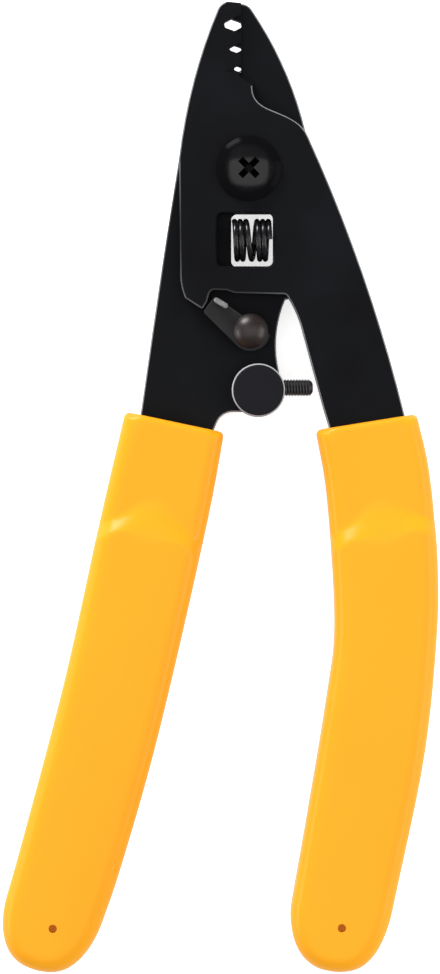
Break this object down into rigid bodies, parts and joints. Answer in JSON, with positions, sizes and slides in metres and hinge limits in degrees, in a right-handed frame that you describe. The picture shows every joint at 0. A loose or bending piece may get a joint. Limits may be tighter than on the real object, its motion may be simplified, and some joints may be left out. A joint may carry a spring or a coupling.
{
  "type": "fibre stripper",
  "caption": "Plier-type fibre stripper with notched crossed blades, a spring in windows beside the pivot, a strut latch, a set-screw stop and thick soft grips.",
  "frame": {"origin": "middle of the tool's box, on the flat undersides of the grips; the pivot axis is at x 4.9 mm, y 54.8 mm", "axes": "+Y along the tool from the handles to the jaw tips, +X across it towards the right handle, +Z out of the front face"},
  "size_m": [0.075, 0.167, 0.012],
  "materials": {
    "blackened_plate": "satin black oxide on ground steel",
    "black_screw": "semi-gloss black oxide",
    "zinc_hardware": "dull plated steel",
    "spring_wire": "oiled black wire",
    "latch_steel": "dark stamped steel",
    "rivet_steel": "dark peened steel",
    "turned_post": "turned black steel with a bright edge",
    "yellow_grip": "soft matt moulded grip"
  },
  "bodies": {
    "back_half": {"back_plate": "blackened_plate", "left_grip": "yellow_grip", "pivot_screw": "black_screw", "pivot_washer": "zinc_hardware", "pivot_nut": "black_screw", "return_spring": "spring_wire", "latch_rivet": "rivet_steel", "stop_post": "turned_post"},
    "front_half": {"front_plate": "blackened_plate", "right_grip": "yellow_grip"},
    "latch": {"latch_lever": "latch_steel"},
    "stop": {"stop_screw": "black_screw"}
  },
  "joints": [
    {"name": "jaw_pivot", "type": "hinge", "parent": "back_half", "child": "front_half", "pos_m": [0.0049, 0.05476, 0.006], "axis": [0, 0, 1], "range_deg": [-0.8, 12], "deforming": ["return_spring"]},
    {"name": "latch_turn", "type": "hinge", "parent": "back_half", "child": "latch", "pos_m": [0.00518, 0.02681, 0.006], "axis": [0, 0, 1], "range_deg": [-6, 84.5]},
    {"name": "stop_adjust", "type": "slide", "parent": "back_half", "child": "stop", "axis": [1, 0, 0], "range_m": [-0.002, 0]}
  ],
  "couplings": [
    {"joint": "latch_turn", "follows": "jaw_pivot", "ratio": 7}
  ]
}
